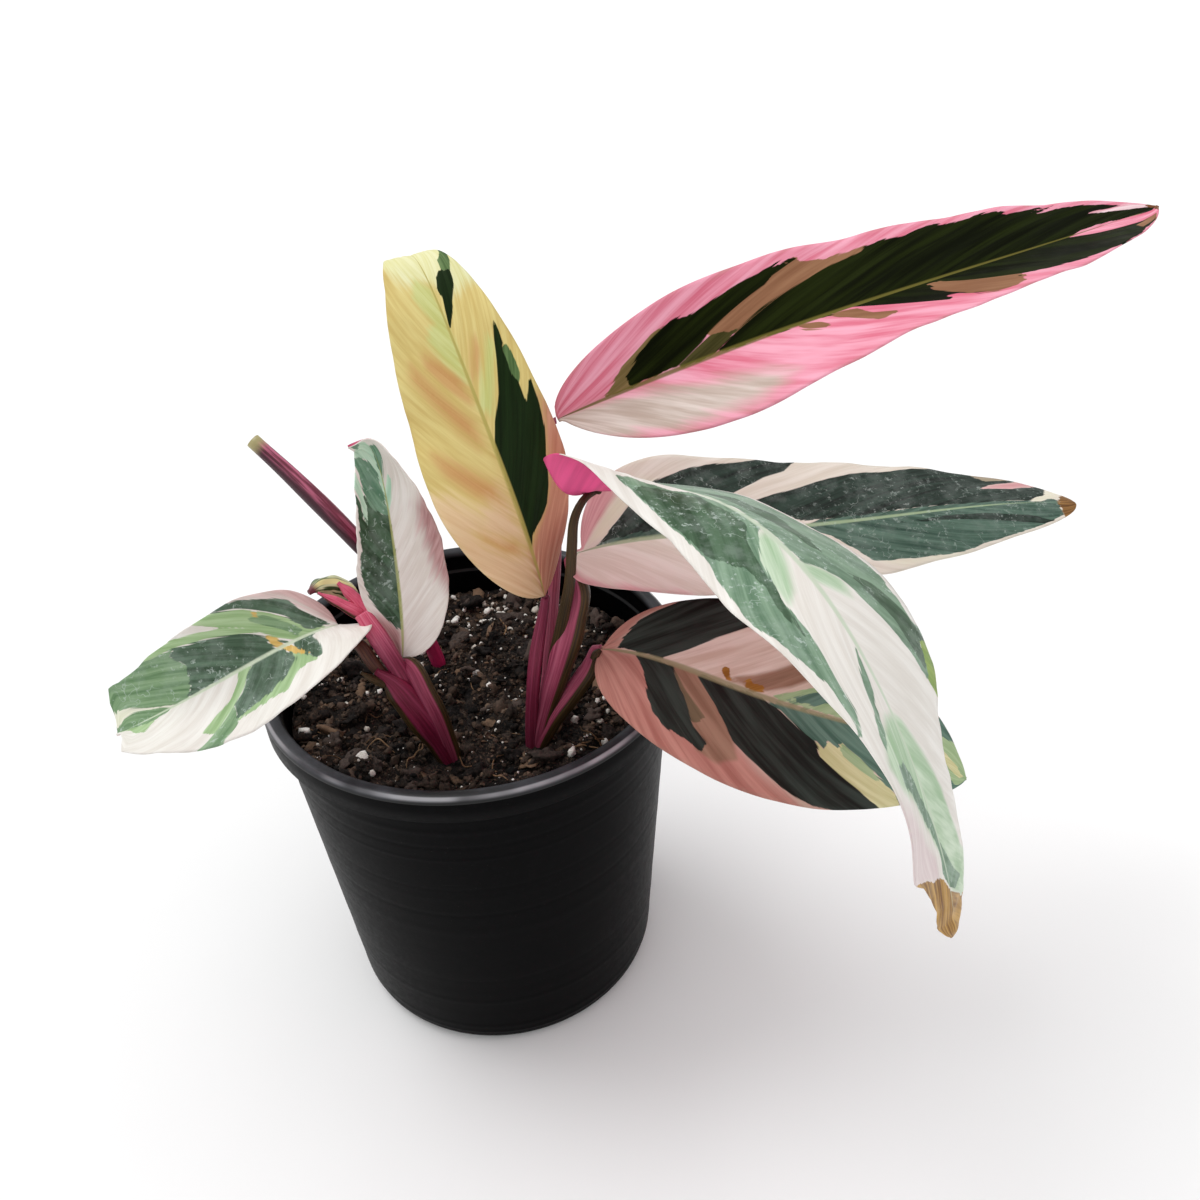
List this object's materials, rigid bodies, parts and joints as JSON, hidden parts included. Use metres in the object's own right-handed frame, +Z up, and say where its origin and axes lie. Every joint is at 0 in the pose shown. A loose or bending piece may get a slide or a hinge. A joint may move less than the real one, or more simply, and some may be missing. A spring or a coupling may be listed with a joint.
{
  "type": "potted variegated prayer plant",
  "caption": "Young prayer plant with long cream, pink and green marked leaves on sheathed stalks, growing in soil in a round black nursery pot.",
  "frame": {"origin": "centre of the pot's flat base, on the surface it stands on", "axes": "+Z up along the pot's axis; the longest leaves reach to +X; -Y is the side seen in the picture"},
  "size_m": [0.3029, 0.2103, 0.2453],
  "materials": {
    "pot": "moulded black plastic, satin, with light scuffs",
    "soil": "loose dark potting mix with white perlite and bark chips",
    "stalks": "smooth magenta sheath with olive-brown edges",
    "rolled_leaf": "smooth dark magenta roll with a pale tip",
    "young_leaf": "soft young leaf, striped green and cream",
    "blades_green": "satin leaf, grey-green and cream streaks along the side veins",
    "blades_cream": "thin satin leaf, cream yellow with a dark green streak",
    "blades_pink": "satin leaf, dark green with pink and cream edges"
  },
  "bodies": {
    "root": {"pot": "pot", "soil": "soil", "stems_left": "stalks", "stems_right": "stalks", "rolled_leaf": "rolled_leaf", "young_leaf": "young_leaf", "leaf_low_left": "blades_green", "leaf_small_upright": "blades_green", "leaf_tall_cream": "blades_cream", "leaf_top_right": "blades_pink", "leaf_front_arch": "blades_green", "leaf_mid_right": "blades_green", "leaf_low_right": "blades_pink"}
  },
  "joints": []
}
